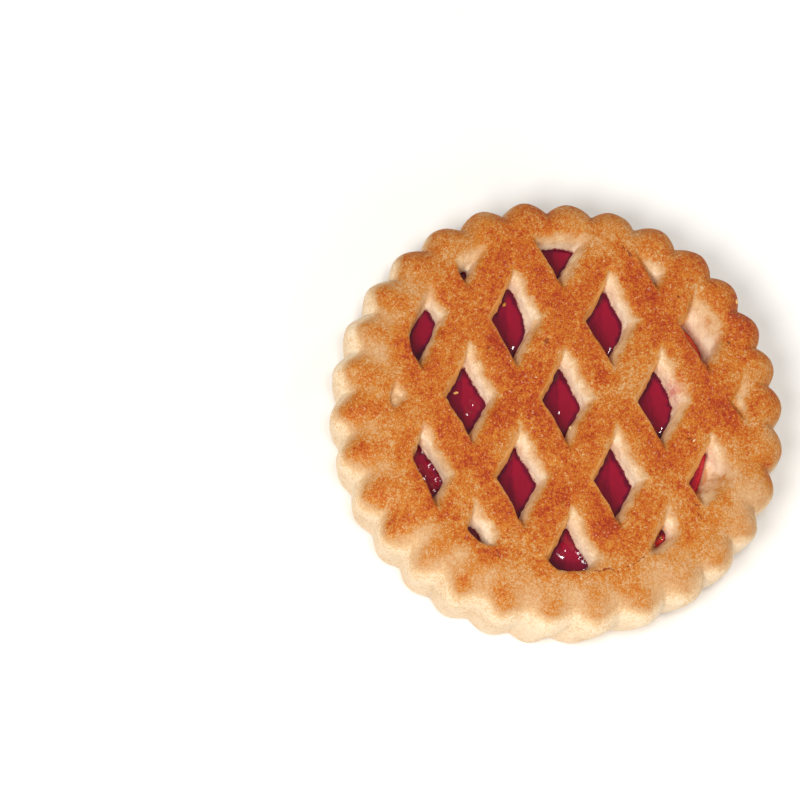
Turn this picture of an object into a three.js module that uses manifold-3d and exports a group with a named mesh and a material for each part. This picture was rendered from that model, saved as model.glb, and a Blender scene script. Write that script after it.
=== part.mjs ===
// A fluted lattice biscuit with a jam filling: a thick biscuit base with a shallow well, a disc of
// jam lying in the well, and a lattice of dough baked onto both, through whose diamonds the jam shows.
// Millimetres, +Z up. The origin is the middle of the underside, on the surface that it rests on.
import * as THREE from "three";
import { mergeVertices } from "three/addons/utils/BufferGeometryUtils.js";
import Module from "manifold-3d";

const wasm = await Module();
wasm.setup();

// Whole biscuit
const TIP_RADIUS = 42.5; // out to the tips of the scallops
const THICKNESS = 16.5;
const BASE_TOP = 11.2; // where the base, the jam and the lattice meet
const TOP_ROUNDING = 4.6; // round of the upper edge
const FOOT_ROUNDING = 1;
const FOOT_INSET = 2; // the wall draws in this much towards the underside
const OVAL = 0.12; // the outline swells and sinks by this much, twice round
// Unevenness of a hand-cut biscuit: each entry adds its amount towards one side, in degrees from X,
// and fades over its spread.
const OUTLINE_UNEVENNESS = [
  { towards: 40, spread: 24, amount: 0.6 },
  { towards: 100, spread: 9, amount: 0.2 },
];
const FOOT_UNEVENNESS = [
  { towards: 245, spread: 20, amount: 0.5 },
  { towards: 291, spread: 13, amount: -1.3 },
];

// Scallops
const SCALLOPS = 30;
const SCALLOP_TURN = THREE.MathUtils.degToRad(1);
const SCALLOP_DEPTH = 2.1; // from tip to valley at the upper edge
const FOOT_SCALLOP_DEPTH = 1.5;
const CREST_SCALLOP_DEPTH = 1.1; // where the rounding runs out onto the flat top
const SCALLOP_BOW = 0.62; // share of a half circle in each scallop's arc: 1 is the whole of it
const SCALLOP_SHIFTS = [
  { towards: 188, spread: 20, amount: 1.6 }, // degrees round the rim
  { towards: 240, spread: 18, amount: -1.2 },
  { towards: 308, spread: 27, amount: 3.7 },
  { towards: 358, spread: 27, amount: 3.1 },
];
const POINTS_PER_SCALLOP = 8;

// Lattice
const LATTICE_X = 0.6; // middle of the lattice, which was cut slightly off centre
const LATTICE_Y = 2.4;
const STRIP_ANGLE = THREE.MathUtils.degToRad(60); // each family of strips to the X axis
const STRIP_PITCH = 15.6; // between neighbouring strips, square to them
const STRIP_FOOT_WIDTH = 8.75; // at the jam
const WALL_DRAFT = 0.75; // each wall of a diamond leans out this much on its way up
const LIP_ROUNDING = 1.2; // round of the diamonds' upper edges
const CORNER_ROUNDING = 0.35; // round of the diamonds' corners
const WINDOW_X = 1.4; // the diamonds end at a circle about this point
const WINDOW_Y = 1.2;
const WINDOW_RADIUS = 31.6; // of that circle at the jam
const WINDOW_SEGMENTS = 72;

// Jam
const JAM_RADIUS = 32.7;
const JAM_THICKNESS = 2.6;
const JAM_X = -3.8; // the jam was spread off centre
const JAM_Y = 1.8;
const JAM_SEGMENTS = 90;
const WELL_GAP = 0.25; // between the jam and the side of its well

const CUT_MARGIN = 1; // how far a cutter runs on past the face that it cuts

// 0 at a scallop's tip and 1 in the valley beside it, along a circular arc.
function scallopSink(angle) {
  const turn = ((angle - SCALLOP_TURN) * SCALLOPS) / (2 * Math.PI);
  const across = 2 * (turn - Math.round(turn));
  const full = 1 - Math.sqrt(1 - SCALLOP_BOW);
  return (1 - Math.sqrt(1 - SCALLOP_BOW * across * across)) / full;
}

// What a list of unevenness adds up to at an angle.
function unevennessAt(list, angle) {
  return list.reduce((sum, { towards, spread, amount }) => {
    const degrees = THREE.MathUtils.radToDeg(angle) - towards;
    const away = (degrees - 360 * Math.round(degrees / 360)) / spread;
    return sum + amount * Math.exp(-away * away);
  }, 0);
}

// A closed ring of points: the fluted outline at height z, drawn in by inset, with valleys this deep
// and this share of the foot's unevenness.
function flutedRing(z, inset, depth, uneven = 0) {
  const count = SCALLOPS * POINTS_PER_SCALLOP;
  return Array.from({ length: count }, (_, i) => {
    const even = SCALLOP_TURN + (i * 2 * Math.PI) / count;
    const angle = even + THREE.MathUtils.degToRad(unevennessAt(SCALLOP_SHIFTS, even));
    const outline = OVAL * Math.cos(2 * angle + 1) + unevennessAt(OUTLINE_UNEVENNESS, angle);
    const foot = uneven * unevennessAt(FOOT_UNEVENNESS, angle);
    const radius = TIP_RADIUS - OVAL + outline + foot - inset - depth * scallopSink(even);
    return new THREE.Vector3(radius * Math.cos(angle), radius * Math.sin(angle), z);
  });
}

// The closed solid through a stack of rings with equal counts of points, lowest ring first.
function loft(rings, centre = new THREE.Vector3()) {
  const count = rings[0].length;
  const points = rings.flat();
  const low = points.push(new THREE.Vector3(centre.x, centre.y, rings[0][0].z)) - 1;
  const high = points.push(new THREE.Vector3(centre.x, centre.y, rings.at(-1)[0].z)) - 1;
  const faces = [];
  for (let i = 0; i < count; i++) {
    const next = (i + 1) % count;
    const top = (rings.length - 1) * count;
    faces.push(low, next, i, high, top + i, top + next);
    for (let level = 0; level < rings.length - 1; level++) {
      const a = level * count + i;
      const b = level * count + next;
      faces.push(a, b, b + count, a, b + count, a + count);
    }
  }
  return new THREE.BufferGeometry().setFromPoints(points).setIndex(faces);
}

function toSolid(geometry) {
  const bare = geometry.clone().deleteAttribute("normal").deleteAttribute("uv");
  const merged = mergeVertices(bare, 1e-5);
  return new wasm.Manifold(
    new wasm.Mesh({
      numProp: 3,
      vertProperties: new Float32Array(merged.attributes.position.array),
      triVerts: new Uint32Array(merged.index.array),
    }),
  );
}

function toGeometry(solid) {
  const mesh = solid.getMesh();
  const geometry = new THREE.BufferGeometry();
  geometry.setAttribute("position", new THREE.BufferAttribute(mesh.vertProperties, 3));
  geometry.setIndex(new THREE.BufferAttribute(mesh.triVerts, 1));
  geometry.computeVertexNormals();
  return geometry;
}

// A closed disc about a point, from one height to another.
function disc(x, y, radius, low, high, segments) {
  const profile = [
    new THREE.Vector2(0, low),
    new THREE.Vector2(radius, low),
    new THREE.Vector2(radius, high),
    new THREE.Vector2(0, high),
  ];
  return new THREE.LatheGeometry(profile, segments).rotateX(Math.PI / 2).translate(x, y, 0);
}

// The base: fluted wall, rounded foot, and the well that holds the jam.
function baseGeometry() {
  const wall = [
    [0, FOOT_INSET + FOOT_ROUNDING, FOOT_SCALLOP_DEPTH, 1],
    [FOOT_ROUNDING / 3, FOOT_INSET + FOOT_ROUNDING / 3, FOOT_SCALLOP_DEPTH, 1],
    [FOOT_ROUNDING, FOOT_INSET - FOOT_ROUNDING / 5, FOOT_SCALLOP_DEPTH, 1],
    [BASE_TOP / 2, FOOT_INSET / 3, (FOOT_SCALLOP_DEPTH + SCALLOP_DEPTH) / 2, 0.4],
    [BASE_TOP, 0, SCALLOP_DEPTH, 0],
  ];
  const body = loft(wall.map((ring) => flutedRing(...ring)));
  const well = disc(
    JAM_X,
    JAM_Y,
    JAM_RADIUS + WELL_GAP,
    BASE_TOP - JAM_THICKNESS,
    BASE_TOP + CUT_MARGIN,
    JAM_SEGMENTS,
  );
  return toGeometry(toSolid(body).subtract(toSolid(well)));
}

// The jam, level with the top of the base.
function jamGeometry() {
  return disc(JAM_X, JAM_Y, JAM_RADIUS, BASE_TOP - JAM_THICKNESS, BASE_TOP, JAM_SEGMENTS);
}

// [height, how far the wall of a diamond has leaned out there], from below the lattice to above it.
function windowWall() {
  const roundingFoot = THICKNESS - LIP_ROUNDING;
  const slope = WALL_DRAFT / (roundingFoot - BASE_TOP);
  const levels = [[BASE_TOP - CUT_MARGIN, -slope * CUT_MARGIN], [roundingFoot, WALL_DRAFT]];
  for (const degrees of [35, 65, 90]) {
    const a = THREE.MathUtils.degToRad(degrees);
    const lean = WALL_DRAFT + LIP_ROUNDING * (1 - Math.cos(a));
    levels.push([roundingFoot + LIP_ROUNDING * Math.sin(a), lean]);
  }
  levels.push([THICKNESS + CUT_MARGIN, levels.at(-1)[1] + CUT_MARGIN / 10]);
  return levels;
}

// One diamond cutter: a rhombus with slightly rounded corners, widened at each height by the lean.
function diamondCutter(x, y) {
  const obtuse = STRIP_ANGLE / 2; // how far the arc at each side corner turns either way
  const acute = Math.PI / 2 - obtuse; // and at each end corner
  const rings = windowWall().map(([z, lean]) => {
    const core = (STRIP_PITCH - STRIP_FOOT_WIDTH) / 2 - CORNER_ROUNDING + lean;
    const halfX = core / Math.sin(STRIP_ANGLE);
    const halfY = core / Math.cos(STRIP_ANGLE);
    const corners = [
      [halfX, 0, 0, obtuse, 2],
      [0, halfY, Math.PI / 2, acute, 4],
      [-halfX, 0, Math.PI, obtuse, 2],
      [0, -halfY, -Math.PI / 2, acute, 4],
    ];
    return corners.flatMap(([cx, cy, facing, spread, steps]) =>
      Array.from({ length: steps + 1 }, (_, i) => {
        const a = facing + spread * ((2 * i) / steps - 1);
        const px = x + cx + CORNER_ROUNDING * Math.cos(a);
        const py = y + cy + CORNER_ROUNDING * Math.sin(a);
        return new THREE.Vector3(px, py, z);
      }),
    );
  });
  return loft(rings, new THREE.Vector3(x, y, 0));
}

// The round window that the diamonds are cut within.
function windowCutter() {
  const rings = windowWall().map(([z, lean]) =>
    Array.from({ length: WINDOW_SEGMENTS }, (_, i) => {
      const a = (i * 2 * Math.PI) / WINDOW_SEGMENTS;
      const radius = WINDOW_RADIUS + lean;
      return new THREE.Vector3(
        WINDOW_X + radius * Math.cos(a),
        WINDOW_Y + radius * Math.sin(a),
        z,
      );
    }),
  );
  return loft(rings, new THREE.Vector3(WINDOW_X, WINDOW_Y, 0));
}

// The middles of every diamond that reaches into the window.
function diamondCentres() {
  const stepX = STRIP_PITCH / Math.sin(STRIP_ANGLE);
  const stepY = STRIP_PITCH / Math.cos(STRIP_ANGLE);
  const reachX = (STRIP_PITCH - STRIP_FOOT_WIDTH) / 2 / Math.sin(STRIP_ANGLE);
  const centres = [];
  for (let row = -2; row <= 2; row++) {
    for (let column = -2; column <= 2; column++) {
      const x = LATTICE_X + (column + (row % 2 ? 0.5 : 0)) * stepX;
      const y = LATTICE_Y + (row * stepY) / 2;
      if (Math.hypot(x - WINDOW_X, y - WINDOW_Y) < WINDOW_RADIUS + 2 * reachX) {
        centres.push([x, y]);
      }
    }
  }
  return centres;
}

// The lattice: a fluted lid with a rounded edge, cut through by the diamonds.
function latticeGeometry() {
  const rings = [flutedRing(BASE_TOP, 0, SCALLOP_DEPTH)];
  for (const degrees of [0, 30, 60, 90]) {
    const a = THREE.MathUtils.degToRad(degrees);
    const z = THICKNESS - TOP_ROUNDING * (1 - Math.sin(a));
    const inset = TOP_ROUNDING * (1 - Math.cos(a));
    const depth = THREE.MathUtils.lerp(CREST_SCALLOP_DEPTH, SCALLOP_DEPTH, Math.cos(a));
    rings.push(flutedRing(z, inset, depth));
  }
  const window = toSolid(windowCutter());
  const cutters = diamondCentres().map(([x, y]) => toSolid(diamondCutter(x, y)).intersect(window));
  return toGeometry(cutters.reduce((lid, cutter) => lid.subtract(cutter), toSolid(loft(rings))));
}

function piece(name, geometry, material) {
  const mesh = new THREE.Mesh(geometry, new THREE.MeshStandardMaterial(material));
  mesh.name = name;
  return mesh;
}

const cookie = new THREE.Group();
cookie.name = "lattice_jam_cookie";
cookie.add(
  piece("biscuit_base", baseGeometry(), { color: 0xe9cda4, roughness: 0.85, metalness: 0 }),
  piece("jam_filling", jamGeometry(), { color: 0x8e1630, roughness: 0.2, metalness: 0 }),
  piece("lattice_top", latticeGeometry(), { color: 0xcf8440, roughness: 0.8, metalness: 0 }),
);

export default cookie;
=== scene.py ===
"""Looks of the lattice jam biscuit: baked dough, jam, crumbs, floor, light and camera."""
import itertools
import math

import bpy
import numpy as np
from mathutils import Matrix, Vector


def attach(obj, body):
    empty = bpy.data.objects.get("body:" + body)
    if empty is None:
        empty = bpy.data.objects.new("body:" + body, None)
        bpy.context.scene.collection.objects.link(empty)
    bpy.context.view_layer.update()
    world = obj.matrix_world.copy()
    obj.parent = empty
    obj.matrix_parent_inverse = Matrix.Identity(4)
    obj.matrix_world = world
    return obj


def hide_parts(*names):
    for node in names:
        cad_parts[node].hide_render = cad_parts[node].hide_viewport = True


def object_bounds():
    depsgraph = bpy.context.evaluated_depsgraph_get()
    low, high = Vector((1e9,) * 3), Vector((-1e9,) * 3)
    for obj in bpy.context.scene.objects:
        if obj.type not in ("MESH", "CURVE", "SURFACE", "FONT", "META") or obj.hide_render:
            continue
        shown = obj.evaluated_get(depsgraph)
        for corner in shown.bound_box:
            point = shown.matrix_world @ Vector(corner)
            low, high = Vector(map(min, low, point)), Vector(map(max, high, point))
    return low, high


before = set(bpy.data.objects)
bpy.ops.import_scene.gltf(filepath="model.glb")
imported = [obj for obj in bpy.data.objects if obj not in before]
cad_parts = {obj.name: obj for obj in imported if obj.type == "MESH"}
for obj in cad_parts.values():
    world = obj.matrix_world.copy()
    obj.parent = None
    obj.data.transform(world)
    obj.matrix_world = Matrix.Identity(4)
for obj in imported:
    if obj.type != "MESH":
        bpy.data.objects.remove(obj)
CAD_LOW, CAD_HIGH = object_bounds()

MM = 0.001  # the shapes below are worked out in millimetres

# Whole biscuit: the sizes are those of part.mjs, the unevenness goes further
TIP_RADIUS = 42.5
THICKNESS = 16.5
BASE_TOP = 11.2
TOP_ROUNDING = 4.6
FOOT_ROUNDING = 1.0
FOOT_INSET = 2.0
OVAL = 0.12
# Unevenness round the biscuit: degrees from X, spread in degrees, amount
OUTLINE_UNEVENNESS = ((40, 24, 0.6), (100, 9, 0.2), (50, 20, 0.35))
FOOT_UNEVENNESS = ((245, 20, 0.5), (291, 13, -1.3))
FOOT_TWIST = ((271, 17, -3.4),)  # how far the base's scallops sit beside the lid's, in degrees
# How far the scallops sit from even places, in degrees
SCALLOP_SHIFTS = ((190, 20, -0.4), (240, 18, -1.2), (308, 27, 3.7), (358, 27, 3.1))
# The crust's reach towards the edge, and how much paler the rim baked than the middle
CRUST_REACH = ((206, 34, 1.9), (312, 28, 1.1))
PALER_RIM = ((310, 60, 0.08), (190, 28, -0.10))
SCALLOPS = 30
SCALLOP_TURN = math.radians(1)
SCALLOP_DEPTH = 2.1
FOOT_SCALLOP_DEPTH = 1.5
SCALLOP_BOW = 0.62
SCALLOPS_FROM, SCALLOPS_TO = 8.5, 2.5  # inside the tips, where the scallops begin and are full
SIDE_ROOM, TOP_ROOM = 0.04, 0.20  # left between the surface and the CAD box for its waves
# The shoulder round the top and the grooves between its scallops: depth, and how much more on the near left
SHOULDER, SHOULDER_NEAR_LEFT = 0.8, 0.7
GROOVE, GROOVE_NEAR_LEFT = 0.52, 0.36
SHOULDER_FROM, SHOULDER_TO = 32.0, 43.0  # reach from the middle
GROOVE_FROM, GROOVE_TO = 33.0, 40.0

# Lattice: laid out as in part.mjs, with softer lips
LATTICE_X, LATTICE_Y = 0.6, 2.4
STRIP_ANGLE = math.radians(60)
STRIP_PITCH = 15.6
STRIP_FOOT_WIDTH = 8.75
WALL_DRAFT = 0.75
LIP_ROUNDING = 1.9
LIP_SOFTENING = 1.0  # rounder by this much on walls that face the pale side
LIP_SHARPENING = 1.35  # and sharper by this much on those opposite
WINDOW_X, WINDOW_Y = 1.4, 1.2
WINDOW_RADIUS = 31.6
# How far the window's wall stands outside that circle at its lip and at its foot
WINDOW_LIP = (
    (-22, 26, 0.4),
    (28, 18, 1.1),
    (60, 10, 0.2),
    (92, 12, 0.5),
    (120, 14, 1.5),
    (138, 10, 1.2),
    (180, 6, 1.2),
    (205, 12, -0.5),
    (-42, 11, -2.4),
)
WINDOW_FOOT = (
    (-24, 26, -2.1),
    (28, 26, -2.2),
    (60, 10, -0.8),
    (92, 12, 0.6),
    (124, 10, 0.8),
    (142, 9, 0.45),
    (205, 12, -0.5),
    (-42, 11, -2.6),
    (-57, 8, -0.4),
)
# Places where the foot of a wall bulges into its opening: x, y, spread, bulge
FOOT_BULGES = (
    (-5.0, 18.2, 2.2, 1.0),
    (13.4, 17.8, 2.2, 0.6),
    (22.4, 2.6, 2.2, 0.9),
    (13.4, -13.0, 2.0, 0.45),
    (2.6, -3.0, 1.1, 0.8),
    (1.2, -1.6, 0.8, -0.3),
    (-23.2, -11.3, 4.0, -0.8),
    (-24.0, 14.5, 3.5, -0.8),
    (-16.2, 27.2, 1.4, -0.8),
)
# Places where a whole wall does so or, below 0, stands further back
WALL_BULGES = (
    (-27.8, -8.0, 2.5, 0.5),
    (-24.1, -19.0, 2.8, -0.7),
    (-26.0, 9.5, 3.0, -0.7),
    (-8.4, -21.4, 2.0, -0.3),
    (-8.4, 9.8, 2.0, -0.25),
    (-14.0, -23.6, 2.6, -0.9),
    (-19.5, -24.0, 2.0, 0.35),
    (24.9, 13.6, 3.2, -0.75),
    (23.6, 20.2, 1.8, 0.40),
    (-29.8, 2.0, 2.0, -0.9),
    (-12.6, -27.4, 2.0, 1.1),
    (14.6, -28.0, 2.0, 1.0),
)
# Shallow openings whose floor lies higher than the jam: x, y, height, fall for each millimetre
SHALLOWS = (
    (33.5, 3.0, 15.9, 0.52),
    (-31.0, 1.5, 15.45, 0.5),
    (18.5, 29.0, 13.4, 0.25),
)
# Stretches that baked darker or, below 0, paler: x, y, spread, amount
BAKED_PATCHES = (
    (-8.5, 5.5, 4.5, 0.12),
    (10.5, 2.5, 3.5, -0.15),
    (-15.6, -9.5, 3.0, 0.08),
    (19.0, -9.6, 3.0, 0.08),
    (2.0, 14.4, 2.5, -0.08),
    (-1.5, 17.5, 2.5, -0.10),
    (-6.9, 25.9, 3.0, -0.08),
    (-23.0, -3.6, 2.5, 0.14),
    (5.1, -7.1, 2.5, 0.12),
    (2.1, 1.4, 2.0, 0.12),
    (12.1, -15.5, 2.0, 0.12),
    (23.4, -19.5, 4.0, -0.10),
    (25.8, 2.8, 2.0, -0.12),
    (-4.9, 36.7, 3.5, 0.12),
    (-13.0, 37.7, 2.5, -0.10),
    (1.0, -31.8, 3.0, 0.14),
    (9.9, -33.5, 2.4, 0.12),
    (-13.8, -33.3, 2.4, 0.06),
    (-22.4, -35.2, 2.6, 0.06),
    (-34.0, -21.0, 4.5, 0.24),
    (-17.8, -30.8, 2.5, -0.08),
    (8.1, -37.8, 3.0, -0.10),
    (17.2, -35.9, 3.0, -0.12),
    (24.6, -33.1, 3.0, -0.12),
    (30.2, -26.1, 3.5, -0.12),
    (31.5, 22.5, 6.0, 0.14),
    (-1.8, 40.3, 3.0, 0.10),
    (28.0, 31.0, 4.0, 0.10),
    (19.5, 35.5, 3.0, 0.14),
    (9.5, 34.0, 3.0, -0.08),
    (7.5, 38.5, 1.3, 0.14),
    (-16.0, 33.0, 3.0, -0.06),
    (-24.0, 30.0, 3.0, 0.10),
    (-14.8, -28.9, 1.8, 0.16),
    (-37.5, 5.0, 4.0, 0.12),
    (-37.0, 10.0, 2.5, 0.10),
    (6.5, -29.6, 2.2, -0.12),
    (19.0, -36.5, 2.0, -0.08),
    (33.5, -16.0, 4.0, -0.05),
    (13.0, -38.8, 1.6, 0.10),
    (22.0, -34.5, 1.6, 0.10),
    (9.0, 6.5, 2.0, 0.08),
)
# Slopes of the openings that baked golden or, below 0, stayed paler: x, y, spread, amount
BAKED_SLOPES = (
    (28.2, 10.6, 2.4, 0.45),
    (31.0, 15.5, 2.2, 0.30),
    (29.5, -14.0, 2.6, 0.40),
    (31.5, -9.5, 2.0, 0.30),
    (-30.0, 2.2, 2.0, -0.15),
    (-18.0, 30.0, 3.5, -0.30),
    (18.5, 29.5, 3.5, -0.25),
    (33.2, 3.4, 2.0, -0.12),
    (27.3, 16.2, 2.8, 0.22),
    (-24.5, 19.5, 2.5, -0.35),
    (-8.5, 22.5, 1.8, -0.20),
    (2.0, 31.0, 2.5, -0.25),
    (-14.5, -26.0, 3.0, -0.25),
    (-26.5, -8.0, 2.0, -0.25),
    (28.8, -10.8, 2.2, 0.10),
)
# Jam that soaked into the dough: x, y, z, spread, amount
STAINS = (
    (21.2, 4.8, 13.6, 2.5, 0.75),
    (18.2, -23.6, 12.0, 1.5, 0.75),
    (-26.0, -4.3, 16.0, 0.8, 0.30),
    (24.4, 16.6, 11.5, 1.6, 0.5),
)
# Small pits in the top: x, y, radius, depth
PITS = (
    (-2.4, 13.5, 0.55, 0.45),
    (32.1, 14.2, 0.45, 0.40),
    (-8.7, -8.1, 0.45, 0.35),
    (-7.7, 3.5, 0.60, 0.35),
    (-13.5, 11.8, 0.50, 0.35),
    (23.8, -4.9, 0.50, 0.40),
    (-4.4, -38.4, 0.45, 0.35),
    (11.8, -35.3, 0.40, 0.30),
)
# Dark specks in the dough, and painted shade in the pits of the top: centre, radius, amount
SPECKS_AND_PIT_SHADE = (
    ((38.0, 7.3, 14.5), 0.65, 0.9),
    ((-13.9, 31.1, 13.5), 0.45, 0.5),
    ((-8.5, 25.3, 14.0), 0.40, 0.6),
    ((7.6, 32.5, 16.0), 0.35, 0.7),
    ((23.0, 22.9, 16.0), 0.40, 0.8),
    ((26.6, 4.9, 16.0), 0.40, 0.6),
    ((29.6, -3.1, 16.0), 0.40, 0.7),
    ((32.1, 14.2, 15.8), 0.40, 0.7),
    ((26.8, 14.2, 11.3), 0.50, 0.8),
    ((-0.6, -18.1, 16.0), 0.60, 0.4),
    ((-2.3, 13.6, 16.0), 0.70, 0.6),
    ((-7.4, 3.8, 16.0), 0.30, 0.8),
    ((-13.2, 12.0, 16.0), 0.50, 0.7),
    ((-8.7, -8.1, 16.0), 0.30, 0.6),
    ((23.8, -4.9, 16.0), 0.50, 0.6),
    ((6.9, -39.0, 3.0), 0.50, 0.9),
    ((-4.4, -41.2, 8.0), 0.40, 0.5),
    ((-18.3, -37.0, 9.0), 0.40, 0.5),
    ((-26.0, -32.0, 8.0), 0.40, 0.5),
)
# Cracks in the top: start, end, width
CRACKS = (
    ((12.9, 32.5), (14.4, 30.7), 0.30),
    ((5.0, -31.1), (5.8, -31.3), 0.22),
    ((5.8, -31.3), (7.7, -30.6), 0.26),
    ((7.7, -30.6), (9.2, -31.3), 0.16),
    ((11.0, -30.3), (12.6, -29.6), 0.14),
    ((12.6, -29.6), (14.2, -28.2), 0.14),
    ((-13.2, -27.9), (-12.8, -29.0), 0.16),
    ((24.1, -17.4), (25.2, -18.6), 0.14),
    ((24.6, -19.4), (25.5, -20.9), 0.14),
)

# Jam: placed as in part.mjs, with a radius 0.2 larger
JAM_RADIUS = 32.9
JAM_X, JAM_Y = -3.8, 1.8
# Where it stops short of that circle or, below 0, runs past it: degrees from X, spread in degrees, amount
JAM_SHORT = ((55, 13, 4.2), (23, 8, -1.1), (-27, 8, -0.5), (-47, 7, -1.8))
JAM_BOTTOM = 8.7  # inside the dough, out of sight
JAM_WELL = 10.1  # the dough's surface under the jam, which hides it
THIN_SIDE = math.radians(-10)  # the jam's edge shows through thin this way
# Small bumps and dents of the jam's surface: x, y, radius, height
JAM_BUMPS = (
    (-24.8, -11.5, 0.8, 0.50),
    (-23.0, -12.0, 0.6, 0.45),
    (-23.6, -14.2, 0.7, 0.50),
    (-25.4, -6.6, 0.6, 0.35),
    (-25.9, -13.6, 0.6, -0.25),
    (0.6, -25.2, 1.8, 0.75),
    (3.3, -26.0, 0.8, 0.45),
    (3.9, -27.4, 0.5, 0.25),
    (0.6, 1.6, 0.5, 0.18),
    (17.5, -0.8, 0.7, 0.35),
    (9.0, 13.2, 0.6, 0.35),
    (-9.0, 13.0, 0.5, 0.30),
    (-17.6, -2.6, 0.6, 0.32),
    (-8.6, -18.0, 0.5, 0.25),
    (9.2, -18.2, 0.5, 0.25),
    (-26.8, 20.6, 0.7, 0.30),
    (-24.2, -9.4, 0.7, 0.50),
    (-26.2, -10.4, 0.5, 0.40),
    (-1.2, 30.6, 0.6, 0.25),
)
# Ring that a bubble left in the jam
BUBBLE_X, BUBBLE_Y, BUBBLE_RADIUS = -16.3, 1.7, 1.15
# Painted light on the jam, brightest here: x, y, spread, amount
JAM_PAINTED_LIGHT = ((1.2, -25.0, 1.8, 0.45),)
# Thin jam that browned: x, y, spread, share
TOASTED = ((25.3, 15.5, 3.0, 1.0), (18.6, -22.5, 3.0, 0.35))
# How far the jam falls away towards the near corner of some openings: middle x, y, spread, fall
JAM_FALLS = (
    (-8.4, 18.0, 5.0, 0.55),
    (9.6, 18.0, 5.0, 0.60),
    (18.6, 2.4, 5.0, 0.60),
    (0.6, 2.4, 5.0, 0.50),
    (-17.4, 2.4, 5.0, 0.35),
    (-8.4, -13.2, 5.0, 0.15),
    (9.6, -13.2, 5.0, 0.25),
)

# Loose crumbs: x, y, length, width as a share of it, turn in degrees, browning
CRUMBS = (
    (-18.9, 4.6, 1.1, 0.45, 20, 0.25),
    (-9.1, 22.3, 1.0, 0.75, 60, 0.55),
    (-10.2, -15.6, 0.6, 0.70, 0, 0.30),
    (19.0, -21.7, 0.8, 0.60, 70, 0.35),
    (18.5, -22.8, 0.6, 0.80, 10, 0.45),
    (17.1, -24.5, 0.6, 0.80, 30, 0.10),
    (24.6, -5.4, 0.8, 0.50, 40, 0.05),
    (-4.6, 6.3, 0.4, 0.80, 0, 0.00),
    (-9.3, 9.4, 0.4, 0.70, 80, 0.00),
    (9.1, 29.6, 0.4, 0.80, 30, 0.00),
    (1.9, -2.6, 1.0, 0.70, 50, 0.10),
    (34.3, 23.0, 1.2, 0.60, 100, 0.15),
)

# Heights over which a look of the dough fades in: from, to
WINDOW_BAKED = 12.5, 14.5
CRUST = 8.5, 14.0
CRACKED = 13.5, 14.5
DOTS_BAKED = 11.5, 13.0
WALL_GOLDEN = 11.4, 12.2
WALL_CRUMB_AND_LIGHT = 16.0, 12.5
BED_STAINED = 12.6, 11.4
# X over which the far right differs: the window's wall has baked dots there, and less of the pale crumb
# tint with painted light
FAR_RIGHT = 20.0, 26.0
# Distance from the window's middle over which its wall bakes, and over which walls turn golden
NEAR_WINDOW = 29.0, 32.0
OFF_WINDOW = 31.0, 29.0
# Reach from the middle over which the rim turns paler, and over which its pads and grooves show
RIM_PALER = 29.0, 35.0
RIM_PADDED = 32.0, 36.0
PAD_REACH, PAD_WIDTH = 36.5, 4.0

PALE_SIDE = math.radians(207)  # pale walls that face this way are painted palest, where the light falls on them
PALE_EDGE = math.radians(235)  # the biscuit's edge is painted palest this way, where the light falls, and darker away from it
LAMP_SIDE = math.radians(215)  # the near left, where the scallops are plumpest

GRID = 0.46  # spacing of the grid that the dough's surface is found on
GRID_MARGIN = 1.0  # how far that grid reaches past the biscuit
BOX_MARGIN = 0.001  # the visible pieces end this much inside the CAD box
NEWTON_STEPS, LONGEST_STEP = 3, 0.15  # then its points are moved onto the surface
JAM_GRID = 0.28  # spacing of the jam's points
CRUMB_CELLS = 9  # grid cells along a crumb's length

# Light, floor and camera
# Soft lights: name, azimuth and elevation in degrees, distance and width in metres, watts, colour
LIGHTS = (
    ("key", 225, 55, 0.75, 0.30, 3.8, (1.0, 0.98, 0.95)),
    ("left", 165, 32, 0.8, 0.40, 0.6, (1.0, 0.98, 0.95)),
    ("overhead", 250, 78, 0.8, 0.11, 1.1, (1.0, 1.0, 1.0)),
    ("back", 50, 28, 0.6, 0.12, 0.55, (1.0, 1.0, 1.0)),
    ("fill", 305, 35, 0.8, 0.40, 1.7, (1.0, 0.99, 0.97)),
)
SKY_COLOUR, SKY_STRENGTH = (1.0, 0.99, 0.97, 1), 0.30
FLOOR_REACH = 3000.0
FLOOR_DROP = 0.02  # the floor lies this far under the biscuit
CAMERA_AZIMUTH = 26.25  # the photograph looks from this far round from the front, to the left
CAMERA_ELEVATION = 68.0
CAMERA_ROLL = -26.0
PICTURE_WIDTH = 147.6  # of what the camera sees where it aims
LENS = 400.0  # long, because the photograph shows hardly any perspective
LOOK_RIGHT, LOOK_UP = -29.95, 1.75  # middle of the picture from the middle of the top

# Colours, dough from unbaked to darkest and jam from its painted shade to its painted light coming through
DOUGH_COLOURS = (
    (0.00, "ead4b6"),
    (0.10, "e4c8a3"),
    (0.20, "dab487"),
    (0.32, "cda376"),
    (0.44, "c49262"),
    (0.54, "bd7c3a"),
    (0.64, "bb6c20"),
    (0.76, "b25319"),
    (0.88, "a43f1c"),
    (1.00, "922c14"),
)
# The golden walls' colour is their baking painted lighter, as painted light on walls that lie in shade
GOLDEN_TINT, GOLDEN_WALL_AND_LIGHT = "e8a23c", "f2b060"
FLECK, CRUMB_AND_LIGHT_TINT = "efd9b8", "f6e3ca"
STAIN_RED, SOAKED_RED = "c8504a", "7c1430"
SPECK_AND_PIT_SHADE_BROWN, CRACK_BROWN = "6a2412", "86361a"
JAM_COLOURS = ((0.0, "42001e"), (0.3, "6e0026"), (1.0, "90082c"))
THIN_JAM, THIN_JAM_GRAINS = "c81e34", "861020"
TOASTED_JAM, TOASTED_JAM_GRAINS = "d84e1c", "a63010"
CRUMB_COLOURS = ((0.15, "ecd6ae"), (0.5, "dca95c"), (0.9, "b4682a"))
FLOOR_COLOURS = ((0.3, "f3f2f0"), (0.7, "f7f6f4"))


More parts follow.
